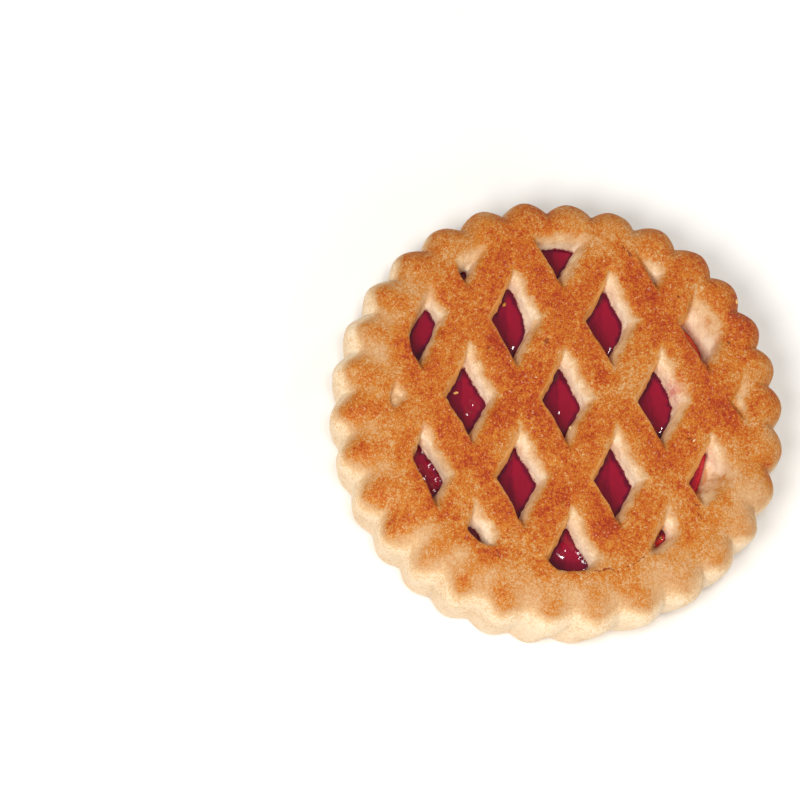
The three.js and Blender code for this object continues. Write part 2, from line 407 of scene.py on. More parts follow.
# ---------------------------------------------------------------- numbers
def hashed(seed, cells):
    """A repeatable random number from 0 to 1 for each whole-number cell."""
    mixed = np.full(cells[0].shape, seed * 7919 + 12345, np.uint32)
    for cell, prime in zip(cells, (73856093, 19349663, 83492791)):
        mixed = (mixed ^ (cell.astype(np.int64) * prime).astype(np.uint32)) * np.uint32(2654435761)
        mixed = mixed ^ (mixed >> np.uint32(15))
    mixed = mixed * np.uint32(2246822519)
    mixed = mixed ^ (mixed >> np.uint32(13))
    return mixed.astype(float) / 2**32


def noise(seed, *coords):
    """Smooth noise from -1 to 1 whose features are about one unit across."""
    coords = np.broadcast_arrays(*coords)
    low = [np.floor(c) for c in coords]
    share = [c - f for c, f in zip(coords, low)]
    share = [s * s * s * (s * (s * 6 - 15) + 10) for s in share]
    total = 0.0
    for corner in itertools.product((0, 1), repeat=len(coords)):
        weight = 1.0
        for s, c in zip(share, corner):
            weight = weight * (s if c else 1 - s)
        total = total + weight * hashed(seed, [f + c for f, c in zip(low, corner)])
    return 2 * total - 1


def layered(seed, size, layers, *coords):
    """Noise in layers, each half as large and half as strong as the one before."""
    total = 0.0
    for layer in range(layers):
        scale = 2**layer / size
        total = total + noise(seed + layer, *[c * scale + 7.3 * layer for c in coords]) / 2**layer
    return total


def ramp(low, high, value):
    """0 below low and 1 above high, smooth between; low may be the larger."""
    t = np.clip((value - low) / (high - low), 0, 1)
    return t * t * (3 - 2 * t)


def smooth_min(a, b, blend):
    """The smaller of both, with the step from one to the other rounded over this much."""
    share = np.clip(0.5 + 0.5 * (b - a) / blend, 0, 1)
    return b + (a - b) * share - blend * share * (1 - share)


def rounded(a, b, radius):
    """Distance to what is inside both a and b, with the edge between them rounded."""
    a, b = a + radius, b + radius
    return np.minimum(np.maximum(a, b), 0) + np.hypot(np.maximum(a, 0), np.maximum(b, 0)) - radius


def spots(entries, x, y):
    """What a list of round spots adds up to at a place."""
    total = 0.0
    for spot_x, spot_y, spread, amount in entries:
        total = total + amount * np.exp(-((x - spot_x) ** 2 + (y - spot_y) ** 2) / spread**2)
    return total


def uneven(entries, angle):
    """What a list of unevenness adds up to at an angle."""
    total = 0.0
    for towards, spread, amount in entries:
        away = np.degrees(angle) - towards
        away = (away - 360 * np.round(away / 360)) / spread
        total = total + amount * np.exp(-(away**2))
    return total


# ---------------------------------------------------------------- dough
def scallop_sinks(angle):
    """0 at a scallop's tip and 1 in the valley beside it: with sharp valleys and with soft ones."""
    even = angle - np.radians(uneven(SCALLOP_SHIFTS, angle))
    even = angle - np.radians(uneven(SCALLOP_SHIFTS, even))
    turn = (even - SCALLOP_TURN) * SCALLOPS / (2 * math.pi)
    across = 2 * (turn - np.round(turn))
    sharp = (1 - np.sqrt(1 - SCALLOP_BOW * across**2)) / (1 - math.sqrt(1 - SCALLOP_BOW))
    return sharp, 0.5 - 0.5 * np.cos(math.pi * across)


def outer(x, y, z):
    """Distance outside the fluted, rounded outline of the whole biscuit."""
    angle, reach = np.arctan2(y, x), np.hypot(x, y)
    low = np.clip(1 - z / BASE_TOP, 0, 1)
    tip = TIP_RADIUS - OVAL + OVAL * np.cos(2 * angle + 1) + uneven(OUTLINE_UNEVENNESS, angle)
    inset = FOOT_INSET * low**1.6 - uneven(FOOT_UNEVENNESS, angle) * low**1.3
    depth = SCALLOP_DEPTH + (FOOT_SCALLOP_DEPTH - SCALLOP_DEPTH) * low
    fade = ramp(TIP_RADIUS - SCALLOPS_FROM, TIP_RADIUS - SCALLOPS_TO, reach)
    sharp, soft = scallop_sinks(angle - np.radians(uneven(FOOT_TWIST, angle)) * np.minimum(low * 1.5, 1))
    softness = 0.1 + 0.35 * ramp(-0.2, 0.8, np.cos(angle - LAMP_SIDE))
    side = reach - tip + inset + depth * (sharp + (soft - sharp) * softness) * fade
    side = side + SIDE_ROOM + 0.10 * layered(11, 7.0, 2, x, y) + 0.07 * layered(12, 2.6, 2, x, y, z)
    top = z - THICKNESS + top_sink(x, y)
    return np.maximum(rounded(side, top, TOP_ROUNDING), rounded(side, -z, FOOT_ROUNDING))


def top_sink(x, y):
    """How far the top lies below the highest point of the biscuit."""
    reach, angle = np.hypot(x, y), np.arctan2(y, x)
    near_left = np.cos(angle - LAMP_SIDE)
    shoulder = (SHOULDER + SHOULDER_NEAR_LEFT * near_left) * ramp(SHOULDER_FROM, SHOULDER_TO, reach)
    groove = (GROOVE + GROOVE_NEAR_LEFT * near_left) * ramp(GROOVE_FROM, GROOVE_TO, reach)
    groove = groove * scallop_sinks(angle)[1]
    waves = 0.16 * layered(21, 11.0, 2, x, y) + 0.05 * noise(23, x / 2.2, y / 2.2)
    return TOP_ROOM + waves + shoulder + groove + spots(PITS, x, y)


def walls(x, y):
    """Distances inside the strips' two families of gaps and the window.

    Each comes with the share, -1 to 1, of the pale side that the nearest wall faces.
    """
    px, py = x - LATTICE_X, y - LATTICE_Y
    found = []
    for side in (-1, 1):
        normal = side * math.sin(STRIP_ANGLE), math.cos(STRIP_ANGLE)
        across = normal[0] * px + normal[1] * py
        from_middle = across - STRIP_PITCH * np.round(across / STRIP_PITCH)
        facing = normal[0] * math.cos(PALE_SIDE) + normal[1] * math.sin(PALE_SIDE)
        inside = (STRIP_PITCH - STRIP_FOOT_WIDTH) / 2 - np.abs(from_middle)
        found.append((inside, -facing * np.sign(from_middle)))
    dx, dy = x - WINDOW_X, y - WINDOW_Y
    reach = np.hypot(dx, dy)
    facing = -(dx * math.cos(PALE_SIDE) + dy * math.sin(PALE_SIDE)) / np.maximum(reach, 1)
    found.append((WINDOW_RADIUS + uneven(WINDOW_LIP, np.arctan2(dy, dx)) - reach, facing))
    return found


def cell(x, y):
    """Place in the nearest diamond, from its middle: across it and along it."""
    px, py = x - LATTICE_X, y - LATTICE_Y
    places = []
    for side in (-1, 1):
        across = (side * math.sin(STRIP_ANGLE) * px + math.cos(STRIP_ANGLE) * py) / STRIP_PITCH
        places.append((across - np.round(across)) * STRIP_PITCH)
    first, second = places
    return (second - first) / (2 * math.sin(STRIP_ANGLE)), (first + second) / (2 * math.cos(STRIP_ANGLE))


def lip_radius(share):
    """Lips of walls that face the pale side are rounder than those opposite."""
    return LIP_ROUNDING + share * np.where(share > 0, LIP_SOFTENING, LIP_SHARPENING)


def dough(x, y, z):
    """Distance outside the dough."""
    top = z - THICKNESS + top_sink(x, y)
    height = (z - BASE_TOP) / (THICKNESS - BASE_TOP)
    low = np.clip(1 - height, 0, 1.2)
    # How far the walls of the openings stand back: they lean, wobble, crumble and bulge
    lean = WALL_DRAFT * np.clip(height * 1.25, -0.3, 1) - 0.15 * np.clip(0.5 - height, 0, 1) ** 2
    wobble = 0.14 * layered(31, 6.0, 2, x, y) + 0.08 * noise(33, x / 1.5, y / 1.5)
    crumbly = (0.05 + 0.11 * low) * noise(34, x / 0.9, y / 0.9, z / 1.3)
    wobble = wobble - low * spots(FOOT_BULGES, x, y) - spots(WALL_BULGES, x, y)
    across, along = cell(x, y)
    wobble = wobble + 0.32 * low * ramp(4.0, 7.0, along) + 0.25 * (1 - low) * ramp(-5.0, -8.0, along)
    # The window's wall has a foot of its own; lips are rounded, the pale ones most
    away = np.arctan2(y - WINDOW_Y, x - WINDOW_X)
    window_shift = (uneven(WINDOW_FOOT, away) - uneven(WINDOW_LIP, away)) * low
    shift = lean + wobble + crumbly
    first, second, window = [
        rounded(inside + shift + extra - 0.2 * lean * (1 - share), top, lip_radius(share))
        for (inside, share), extra in zip(walls(x, y), (0, 0, window_shift))
    ]
    # Corners of the diamonds: sharp at the foot, soft at the top, softest on the right
    crossing = 0.06 + 0.25 * np.clip(height, 0, 1)
    right_corner = (0.3 + 0.9 * np.clip(height, 0, 1)) * ramp(1.2, 3.8, across)
    lattice = smooth_min(smooth_min(first, second, crossing + right_corner), window, crossing + 0.8)
    bed = z - bed_height(x, y)
    return np.maximum(outer(x, y, z), smooth_min(lattice, bed, 0.3))


def jam_edge(x, y):
    """Distance outside the jam's outline."""
    angle = np.arctan2(y - JAM_Y, x - JAM_X)
    short = uneven(JAM_SHORT, angle)
    ragged = 0.15 * layered(41, 2.0, 2, x, y)
    return np.hypot(x - JAM_X, y - JAM_Y) - JAM_RADIUS + short + ragged


def bed_height(x, y):
    """The dough's surface under the lattice: a well where the jam lies, bare beside it."""
    bare = BASE_TOP - 0.05 + 0.12 * layered(43, 2.5, 2, x, y)
    bed = bare + (JAM_WELL - bare) * ramp(0.1, -0.9, jam_edge(x, y))
    for middle_x, middle_y, height, fall in SHALLOWS:
        bed = np.maximum(bed, height - fall * np.hypot(x - middle_x, y - middle_y))
    return bed


def surface_nets(values, start, spacing):
    """Points and quads where a field on a grid passes through zero, the inside being negative."""
    inside = values < 0
    shape = [n - 1 for n in values.shape]
    corners = list(itertools.product((0, 1), repeat=3))

    def at(grid, corner):
        return grid[tuple(slice(c, c + n) for c, n in zip(corner, shape))]

    count = sum(at(inside, c).astype(np.int8) for c in corners)
    active = np.nonzero((count > 0) & (count < 8))
    index = np.full(shape, -1, np.int64)
    index[active] = np.arange(len(active[0]))
    cells = np.stack(active, 1)
    total = np.zeros(cells.shape)
    crossings = np.zeros(len(cells))
    for low in corners:
        for axis in range(3):
            if low[axis]:
                continue
            high = tuple(1 if i == axis else c for i, c in enumerate(low))
            a = values[tuple((cells + low).T)]
            b = values[tuple((cells + high).T)]
            crossed = (a < 0) != (b < 0)
            point = np.tile(np.array(low, float), (len(cells), 1))
            point[:, axis] = np.where(crossed, a / np.where(crossed, a - b, 1), 0)
            total[crossed] += point[crossed]
            crossings += crossed
    points = start + spacing * (cells + total / crossings[:, None])
    quads = []
    for axis in range(3):
        u, v = (axis + 1) % 3, (axis + 2) % 3
        here = [slice(1, -1)] * 3
        here[axis] = slice(0, -1)
        there = list(here)
        there[axis] = slice(1, None)
        a, b = inside[tuple(here)], inside[tuple(there)]
        edges = np.stack(np.nonzero(a != b), 1)
        leaving = a[tuple(edges.T)]
        edges[:, u] += 1
        edges[:, v] += 1
        ring = []
        for du, dv in ((1, 1), (0, 1), (0, 0), (1, 0)):
            beside = edges.copy()
            beside[:, u] -= du
            beside[:, v] -= dv
            ring.append(index[tuple(beside.T)])
        ring = np.stack(ring, 1)
        quads.append(np.where(leaving[:, None], ring, ring[:, ::-1]))
    return points, np.concatenate(quads)


def slope(field, points, step=0.05):
    """The field and its gradient at scattered points."""
    x, y, z = points.T
    gradient = []
    for a, b, c in step * np.eye(3):
        gradient.append(field(x + a, y + b, z + c) - field(x - a, y - b, z - c))
    return field(x, y, z), np.stack(gradient, 1) / (2 * step)


def mesh_object(name, points, faces, material, attributes=()):
    """An object from points in millimetres, with a number at each point for each attribute."""
    mesh = bpy.data.meshes.new(name)
    faces = np.asarray(faces)
    mesh.vertices.add(len(points))
    mesh.vertices.foreach_set("co", (np.asarray(points) * MM).astype(np.float32).ravel())
    mesh.loops.add(faces.size)
    mesh.loops.foreach_set("vertex_index", faces.astype(np.int32).ravel())
    mesh.polygons.add(len(faces))
    mesh.polygons.foreach_set("loop_start", np.arange(0, faces.size, faces.shape[1], dtype=np.int32))
    mesh.polygons.foreach_set("use_smooth", np.ones(len(faces), bool))
    mesh.update(calc_edges=True)
    mesh.validate()
    for key, values in dict(attributes).items():
        mesh.attributes.new(key, "FLOAT", "POINT").data.foreach_set("value", values.astype(np.float32))
    mesh.materials.append(material)
    made = bpy.data.objects.new(name, mesh)
    bpy.context.scene.collection.objects.link(made)
    return made


# ---------------------------------------------------------------- materials
def linear(hex_colour):
    """Linear colour of an sRGB hex string."""
    parts = [int(hex_colour[i : i + 2], 16) / 255 for i in (0, 2, 4)]
    return [p / 12.92 if p <= 0.04045 else ((p + 0.055) / 1.055) ** 2.4 for p in parts] + [1.0]


class Nodes:
    """A short way to write a material's nodes."""

    def __init__(self, name):
        self.material = bpy.data.materials.new(name)
        self.material.use_nodes = True
        self.tree = self.material.node_tree
        self.tree.nodes.clear()
        self.shader = self.add("ShaderNodeBsdfPrincipled")
        self.link(self.shader.outputs[0], self.add("ShaderNodeOutputMaterial").inputs[0])
        self.position = self.scaled(self.add("ShaderNodeTexCoord").outputs["Object"], 1 / MM)

    def add(self, kind, **settings):
        node = self.tree.nodes.new(kind)
        for key, value in settings.items():
            setattr(node, key, value)
        return node

    def link(self, source, target):
        self.tree.links.new(source, target)

    def feed(self, target, value):
        if isinstance(value, (int, float, list, tuple)):
            target.default_value = value
        else:
            self.link(value, target)

    def scaled(self, vector, factor):
        node = self.add("ShaderNodeVectorMath", operation="SCALE")
        self.feed(node.inputs[0], vector)
        self.feed(node.inputs["Scale"], factor)
        return node.outputs[0]

    def math(self, operation, a, b=0.0, c=0.0):
        node = self.add("ShaderNodeMath", operation=operation)
        for target, value in zip(node.inputs, (a, b, c)):
            self.feed(target, value)
        return node.outputs[0]

    def noise(self, size, detail=2.0, rough=0.5, shift=0.0):
        """Noise from 0 to 1 with features this many millimetres across."""
        node = self.add("ShaderNodeTexNoise", noise_dimensions="4D")
        self.link(self.position, node.inputs["Vector"])
        self.feed(node.inputs["W"], shift)
        self.feed(node.inputs["Scale"], 1 / size)
        self.feed(node.inputs["Detail"], detail)
        self.feed(node.inputs["Roughness"], rough)
        return node.outputs[0]

    def ramp(self, value, low, high, to_low=0.0, to_high=1.0):
        node = self.add("ShaderNodeMapRange", interpolation_type="SMOOTHSTEP")
        for target, number in zip(node.inputs, (value, low, high, to_low, to_high)):
            self.feed(target, number)
        return node.outputs[0]

    def colours(self, value, *stops):
        node = self.add("ShaderNodeValToRGB")
        self.feed(node.inputs[0], value)
        elements = node.color_ramp.elements
        while len(elements) < len(stops):
            elements.new(0.5)
        for element, (place, colour) in zip(elements, stops):
            element.position = place
            element.color = linear(colour)
        return node.outputs[0]

    def mix(self, share, a, b):
        node = self.add("ShaderNodeMix", data_type="RGBA")
        self.feed(node.inputs[0], share)
        self.feed(node.inputs[6], a)
        self.feed(node.inputs[7], b)
        return node.outputs[2]

    def tint(self, colour, share, hex_colour):
        return self.mix(share, colour, linear(hex_colour))

    def attribute(self, name):
        return self.add("ShaderNodeAttribute", attribute_name=name).outputs["Fac"]

    def parts(self, vector):
        node = self.add("ShaderNodeSeparateXYZ")
        self.link(vector, node.inputs[0])
        return node.outputs

    def wander(self, size, reach):
        """The position, shifted at random by up to this reach to make outlines ragged."""
        node = self.add("ShaderNodeTexNoise")
        self.link(self.position, node.inputs["Vector"])
        self.feed(node.inputs["Scale"], 1 / size)
        shift = self.add("ShaderNodeVectorMath", operation="MULTIPLY_ADD")
        self.link(node.outputs["Color"], shift.inputs[0])
        shift.inputs[1].default_value = (2 * reach,) * 3
        shift.inputs[2].default_value = (-reach,) * 3
        moved = self.add("ShaderNodeVectorMath", operation="ADD")
        self.link(self.position, moved.inputs[0])
        self.link(shift.outputs[0], moved.inputs[1])
        return moved.outputs[0]

    def crack(self, place, start, end, width):
        """1 in the middle of a crack from start to end in the top, 0 beside it."""
        x, y, _ = self.parts(place)
        length = math.dist(start, end)
        ux, uy = (end[0] - start[0]) / length, (end[1] - start[1]) / length
        along = self.math("MULTIPLY_ADD", x, ux, self.math("MULTIPLY", y, uy))
        beside = self.math("MULTIPLY_ADD", y, ux, self.math("MULTIPLY", x, -uy))
        along = self.math("SUBTRACT", along, start[0] * ux + start[1] * uy + length / 2)
        beside = self.math("SUBTRACT", beside, start[1] * ux - start[0] * uy)
        beyond = self.math("SUBTRACT", self.math("ABSOLUTE", along), length / 2)
        beyond = self.math("MAXIMUM", beyond, 0.0)
        squares = self.math("MULTIPLY_ADD", beyond, beyond, self.math("MULTIPLY", beside, beside))
        return self.ramp(self.math("SQRT", squares), width, 0.3 * width)

    def bump(self, height, distance, strength=1.0):
        node = self.add("ShaderNodeBump")
        self.feed(node.inputs["Height"], height)
        self.feed(node.inputs["Distance"], distance * MM)
        self.feed(node.inputs["Strength"], strength)
        return node.outputs[0]

    def surface(self, colour, rough, normal):
        self.link(colour, self.shader.inputs["Base Color"])
        self.link(rough, self.shader.inputs["Roughness"])
        self.link(normal, self.shader.inputs["Normal"])


def dough_specks_and_pit_shade(n, place):
    """How much dark speck and painted pit shade lies at each point."""
    specks_and_pit_shade = 0.0
    for centre, radius, amount in SPECKS_AND_PIT_SHADE:
        away = n.add("ShaderNodeVectorMath", operation="DISTANCE")
        n.link(place, away.inputs[0])
        away.inputs[1].default_value = centre
        speck = n.ramp(away.outputs["Value"], radius, 0.5 * radius, 0.0, amount)
        specks_and_pit_shade = n.math("MAXIMUM", specks_and_pit_shade, speck)
    return specks_and_pit_shade


def dough_cracks(n, place, z):
    """Where the cracks in the top are open."""
    cracks = 0.0
    for start, end, width in CRACKS:
        cracks = n.math("MAXIMUM", cracks, n.crack(place, start, end, width))
    cracks = n.math("MULTIPLY", cracks, n.ramp(z, *CRACKED))
    return n.math("MULTIPLY", cracks, n.ramp(n.noise(0.8, 1.0, 0.5, 7.7), 0.35, 0.5))


def dough_material():
    n = Nodes("baked_dough")
    baked = n.attribute("browning")
    pale_crumb_and_light = n.attribute("pale_crumb_and_light")
    # The baking, made uneven by grains and patches: each a size and a share
    uneven_by = 0.0
    for size, share in ((0.26, 1.1), (0.55, 0.75), (1.2, 0.40), (2.6, 0.40), (7.0, 0.45)):
        patches = n.math("SUBTRACT", n.noise(size, 1.0, 0.5, size), 0.5)
        uneven_by = n.math("MULTIPLY_ADD", patches, share, uneven_by)
    pale_grains = n.ramp(n.noise(0.45, 0.0, 0.5, 6.6), 0.66, 0.78)
    uneven_by = n.math("MULTIPLY_ADD", pale_grains, -0.12, uneven_by)
    when_pale = n.ramp(baked, 0.30, 0.05, 0.0, 0.22)
    when_dark = n.ramp(baked, 0.42, 0.68, 0.36, 0.78)
    strength = n.math("ADD", when_pale, when_dark)
    colour = n.colours(n.math("MULTIPLY_ADD", uneven_by, strength, baked), *DOUGH_COLOURS)
    # Golden places, flecks, and the pale crumb tint with painted light on walls that face the pale side
    golden = n.ramp(n.noise(1.3, 1.0, 0.5, 8.1), 0.5, 0.75, 0.0, 0.22)
    colour = n.tint(colour, n.math("MULTIPLY", golden, baked), GOLDEN_TINT)
    patchy = n.ramp(n.noise(0.9, 2.0, 0.6, 2.7), 0.3, 0.6, 0.55, 1.0)
    # Golden walls opposite the pale side: baked colour, painted lighter as painted light
    colour = n.tint(colour, n.math("MULTIPLY", n.attribute("golden"), patchy), GOLDEN_WALL_AND_LIGHT)
    flecks = n.ramp(n.noise(0.4, 0.0, 0.5, 9.3), 0.68, 0.78, 0.0, 0.20)
    colour = n.tint(colour, flecks, FLECK)
    colour = n.tint(colour, n.math("MULTIPLY", pale_crumb_and_light, 0.80), CRUMB_AND_LIGHT_TINT)
    # Jam in the dough
    patchy = n.ramp(n.noise(0.7, 1.0, 0.5, 3.1), 0.35, 0.6, 0.35, 1.0)
    colour = n.tint(colour, n.math("MULTIPLY", n.attribute("stain"), patchy), STAIN_RED)
    z = n.parts(n.position)[2]
    creep = n.math("MULTIPLY_ADD", n.noise(0.5, 1.0, 0.5, 4.4), 1.4, -0.7)
    soaking = n.ramp(n.math("ADD", z, creep), 12.1, 11.5)
    colour = n.tint(colour, n.math("MULTIPLY", soaking, n.attribute("soaked")), SOAKED_RED)
    # Specks with painted shade in the pits, and cracks
    place = n.wander(0.5, 0.5)
    specks_and_pit_shade = dough_specks_and_pit_shade(n, place)
    colour = n.tint(colour, specks_and_pit_shade, SPECK_AND_PIT_SHADE_BROWN)
    cracks = dough_cracks(n, place, z)
    colour = n.tint(colour, cracks, CRACK_BROWN)
    rough = n.ramp(n.noise(1.1, 2.0, 0.5, 5.0), 0.3, 0.7, 0.52, 0.72)
    relief = n.math("MULTIPLY_ADD", n.noise(1.5, 3.0, 0.55, 1.7), 1.6, n.noise(0.45, 2.0, 0.65, 2.2))
    relief = n.math("MULTIPLY_ADD", n.math("MAXIMUM", cracks, specks_and_pit_shade), -0.7, relief)
    coarser = n.math("MULTIPLY_ADD", pale_crumb_and_light, 0.6, 0.8)
    n.surface(colour, rough, n.bump(relief, 0.13, coarser))
    n.shader.inputs["Specular IOR Level"].default_value = 0.14
    return n.material


def jam_material():
    n = Nodes("jam")
    waves = n.math("SUBTRACT", n.noise(2.2, 2.0, 0.5), 0.5)
    # The jam's tone is its painted light and shade, with random waves
    depth = n.math("MULTIPLY_ADD", waves, 0.3, n.attribute("painted_light"))
    grains = n.ramp(n.noise(0.5, 1.0, 0.5, 3.0), 0.4, 0.7, 0.0, 0.5)
    thin_colour = n.mix(grains, linear(THIN_JAM), linear(THIN_JAM_GRAINS))
    toasted_colour = n.mix(grains, linear(TOASTED_JAM), linear(TOASTED_JAM_GRAINS))
    thin_colour = n.mix(n.attribute("toasted"), thin_colour, toasted_colour)
    colour = n.mix(n.attribute("thin"), n.colours(depth, *JAM_COLOURS), thin_colour)
    rough = n.ramp(n.noise(2.0, 1.0, 0.5, 4.0), 0.3, 0.7, 0.08, 0.16)
    ripples = n.math("MULTIPLY_ADD", n.noise(0.6, 1.0, 0.5, 6.0), 0.50, n.noise(1.6, 2.0, 0.5, 2.0))
    n.surface(colour, rough, n.bump(ripples, 0.12, 0.5))
    n.shader.inputs["Subsurface Weight"].default_value = 0.15
    n.shader.inputs["Subsurface Radius"].default_value = (1.0, 0.12, 0.10)
    n.shader.inputs["Subsurface Scale"].default_value = 1.2 * MM
    n.shader.inputs["Specular IOR Level"].default_value = 0.1
    n.shader.inputs["Coat Weight"].default_value = 0.8
    n.shader.inputs["Coat Roughness"].default_value = 0.03
    return n.material


def crumb_material():
    n = Nodes("crumb")
    tone = n.math("MULTIPLY_ADD", n.noise(0.3, 1.0, 0.5, 1.0), 0.5, n.attribute("browning"))
    rough = n.ramp(tone, 0.2, 0.8, 0.7, 0.5)
    bump = n.bump(n.noise(0.25, 2.0, 0.6, 2.0), 0.06, 0.7)
    n.surface(n.colours(tone, *CRUMB_COLOURS), rough, bump)
    n.shader.inputs["Specular IOR Level"].default_value = 0.2
    return n.material


def floor_material():
    n = Nodes("pale_floor")
    tone = n.noise(30.0, 2.0)
    bump = n.bump(n.noise(0.6, 2.0), 0.01, 0.2)
    n.surface(n.colours(tone, *FLOOR_COLOURS), n.ramp(tone, 0.3, 0.7, 0.75, 0.85), bump)
    return n.material


# ---------------------------------------------------------------- pieces
def inside_box(points):
    """The points clipped to the CAD box, which some waves and crumbs pass by less than 0.1."""
    low = np.array(CAD_LOW) / MM + BOX_MARGIN
    high = np.array(CAD_HIGH) / MM - BOX_MARGIN
    return np.clip(points, low, high)


def dough_surface():
    """Points and quads of the dough's surface."""
    far = np.array([TIP_RADIUS, TIP_RADIUS, THICKNESS]) + GRID_MARGIN
    start = np.array([-TIP_RADIUS, -TIP_RADIUS, 0.0]) - GRID_MARGIN
    counts = np.ceil((far - start) / GRID)
    x, y, z = (s + GRID * np.arange(int(n) + 1) for s, n in zip(start, counts))
    values = dough(x[:, None, None], y[None, :, None], z[None, None, :])
    points, quads = surface_nets(values, start, GRID)
    for _ in range(NEWTON_STEPS):
        value, gradient = slope(dough, points)
        size = np.maximum((gradient**2).sum(1), 0.2)
        move = gradient * (value / size)[:, None]
        points -= np.clip(move, -LONGEST_STEP, LONGEST_STEP)
    return inside_box(points), quads


def crust(x, y, z, up, facing):
    """1 where the top's baking reaches, 0 down the pale side wall; painted shade makes it reach further
    down away from the light.
    """
    reach, angle = np.hypot(x, y), np.arctan2(y, x)
    from_edge = TIP_RADIUS + uneven(OUTLINE_UNEVENNESS, angle) - reach
    from_edge = from_edge - 1.7 * scallop_sinks(angle)[1] + uneven(CRUST_REACH, angle)
    # Painted shade: the crust reaches lower on the edge away from PALE_EDGE and on slopes facing away from
    # PALE_SIDE
    darker = 1 - ramp(-0.6, 0.3, np.cos(angle - PALE_EDGE))
    patchy = layered(51, 4.0, 2, x, y)
    pad = ramp(0.7, 3.0, from_edge + 2.6 * darker + 0.4 * patchy)
    return pad * ramp(*CRUST, z - facing + 0.8 * patchy) * ramp(-0.2, 0.95, up + 0.5 * darker)


def top_browning(x, y, in_gap, strip_facing):
    """How dark the top baked, with painted shade on the lips of walls that face away from the pale side."""
    reach, angle = np.hypot(x, y), np.arctan2(y, x)
    near_left = ramp(-0.35, 0.65, np.cos(angle - LAMP_SIDE))
    groove = scallop_sinks(angle)[1]
    paler_rim = 0.09 + uneven(PALER_RIM, angle) + 0.11 * near_left
    top = 0.66 + 0.09 * layered(52, 9.0, 3, x, y) - paler_rim * ramp(*RIM_PALER, reach)
    pads = 0.07 * np.exp(-(((reach - PAD_REACH) / PAD_WIDTH) ** 2)) * (1 - groove) - 0.12 * groove
    top = top + ramp(*RIM_PADDED, reach) * near_left * pads
    # Painted shade on the lips above walls that face away from the pale side
    lips = 0.07 * np.exp(-(((in_gap + 1.6) / 1.3) ** 2)) * (strip_facing < -0.8)
    return top + lips + spots(BAKED_PATCHES, x, y)


def dough_shades(points):
    """A number at each point for every attribute that the dough's material reads."""
    x, y, z = points.T
    normal = slope(dough, points)[1]
    normal /= np.maximum(np.linalg.norm(normal, axis=1), 1e-6)[:, None]
    up = normal[:, 2]
    facing = normal[:, 0] * math.cos(PALE_SIDE) + normal[:, 1] * math.sin(PALE_SIDE)
    from_window = np.hypot(x - WINDOW_X, y - WINDOW_Y)
    far_right = ramp(*FAR_RIGHT, x)
    gaps = walls(x, y)
    stand_back = WALL_DRAFT - spots(WALL_BULGES, x, y)
    in_gap = np.minimum.reduce([inside for inside, _ in gaps]) + stand_back
    nearest = np.argmin([inside for inside, _ in gaps], axis=0)
    at_window = nearest == 2
    strip_facing = np.where(at_window, 1, np.choose(nearest, [share for _, share in gaps]))
    near_gap = ramp(-3.0, -1.0, in_gap)
    # Walls of the openings: pale, painted palest where they face the pale side and the light, and browner
    # where they face away, as painted shade
    pale_gap = [inside + share * np.where(share > 0, 0.5, 1.1) for inside, share in gaps]
    pale_gap = np.minimum.reduce(pale_gap) + stand_back + 0.1 + 0.5 * ramp(4.5, 7.5, cell(x, y)[1])
    pale = ramp(-1.5, 1.1, pale_gap + 0.35 * layered(54, 1.4, 2, x, y))
    unbaked = 1 - 0.35 * ramp(*NEAR_WINDOW, from_window) * ramp(*WINDOW_BAKED, z)
    unbaked = unbaked * (1 - np.interp(strip_facing, (-0.6, 0.5, 0.9), (0.50, 0.30, 0.0)))
    baked_dots = ramp(0.1, 0.8, layered(55, 1.3, 2, x, y)) * at_window * ramp(*DOTS_BAKED, z)
    unbaked = unbaked - 0.35 * baked_dots * far_right - spots(BAKED_SLOPES, x, y)
    # The whole dough
    rim = crust(x, y, z, up, facing)
    top = top_browning(x, y, in_gap, strip_facing)
    browning = top * (1 - pale * unbaked) * (rim + (1 - rim) * near_gap)
    foot_line = ramp(0.9, 0.1, z) * ramp(-0.6, 0.5, layered(53, 2.0, 2, x, y))
    browning = np.maximum(browning, 0.5 * foot_line) + 0.05
    # Jam in the dough
    stain = 0.25 * near_gap * ramp(*BED_STAINED, z) * ramp(1.5, 0.0, jam_edge(x, y))
    for stain_x, stain_y, stain_z, spread, amount in STAINS:
        away = (x - stain_x) ** 2 + (y - stain_y) ** 2 + (z - stain_z) ** 2
        stain = np.maximum(stain, amount * np.exp(-away / spread**2))
    # Golden walls opposite the pale side, painted lighter than their shade leaves them; and on walls that
    # face the pale side, a pale crumb tint with painted light
    golden = ramp(-0.35, 0.35, in_gap) * ramp(*WALL_GOLDEN, z) * ramp(*OFF_WINDOW, from_window)
    golden = golden * np.interp(strip_facing, (-1.0, -0.6, 0.5, 0.9), (0.40, 0.90, 0.35, 0.0))
    # Painted light: a whiter tint, over the pale crumb colour, only on walls that face the pale side
    pale_crumb_and_light = near_gap * pale * ramp(*WALL_CRUMB_AND_LIGHT, z) * ramp(0.2, 0.9, facing)
    pale_crumb_and_light = pale_crumb_and_light * (1 - 0.5 * far_right * at_window)
    soaked = near_gap * ramp(0.2, -0.6, jam_edge(x, y))
    return {
        "browning": browning,
        "golden": golden,
        "stain": stain,
        "pale_crumb_and_light": pale_crumb_and_light,
        "soaked": soaked,
    }


def build_dough():
    points, quads = dough_surface()
    made = mesh_object("baked_dough", points, quads, dough_material(), dough_shades(points))
    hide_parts("biscuit_base", "lattice_top")
    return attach(made, "root")


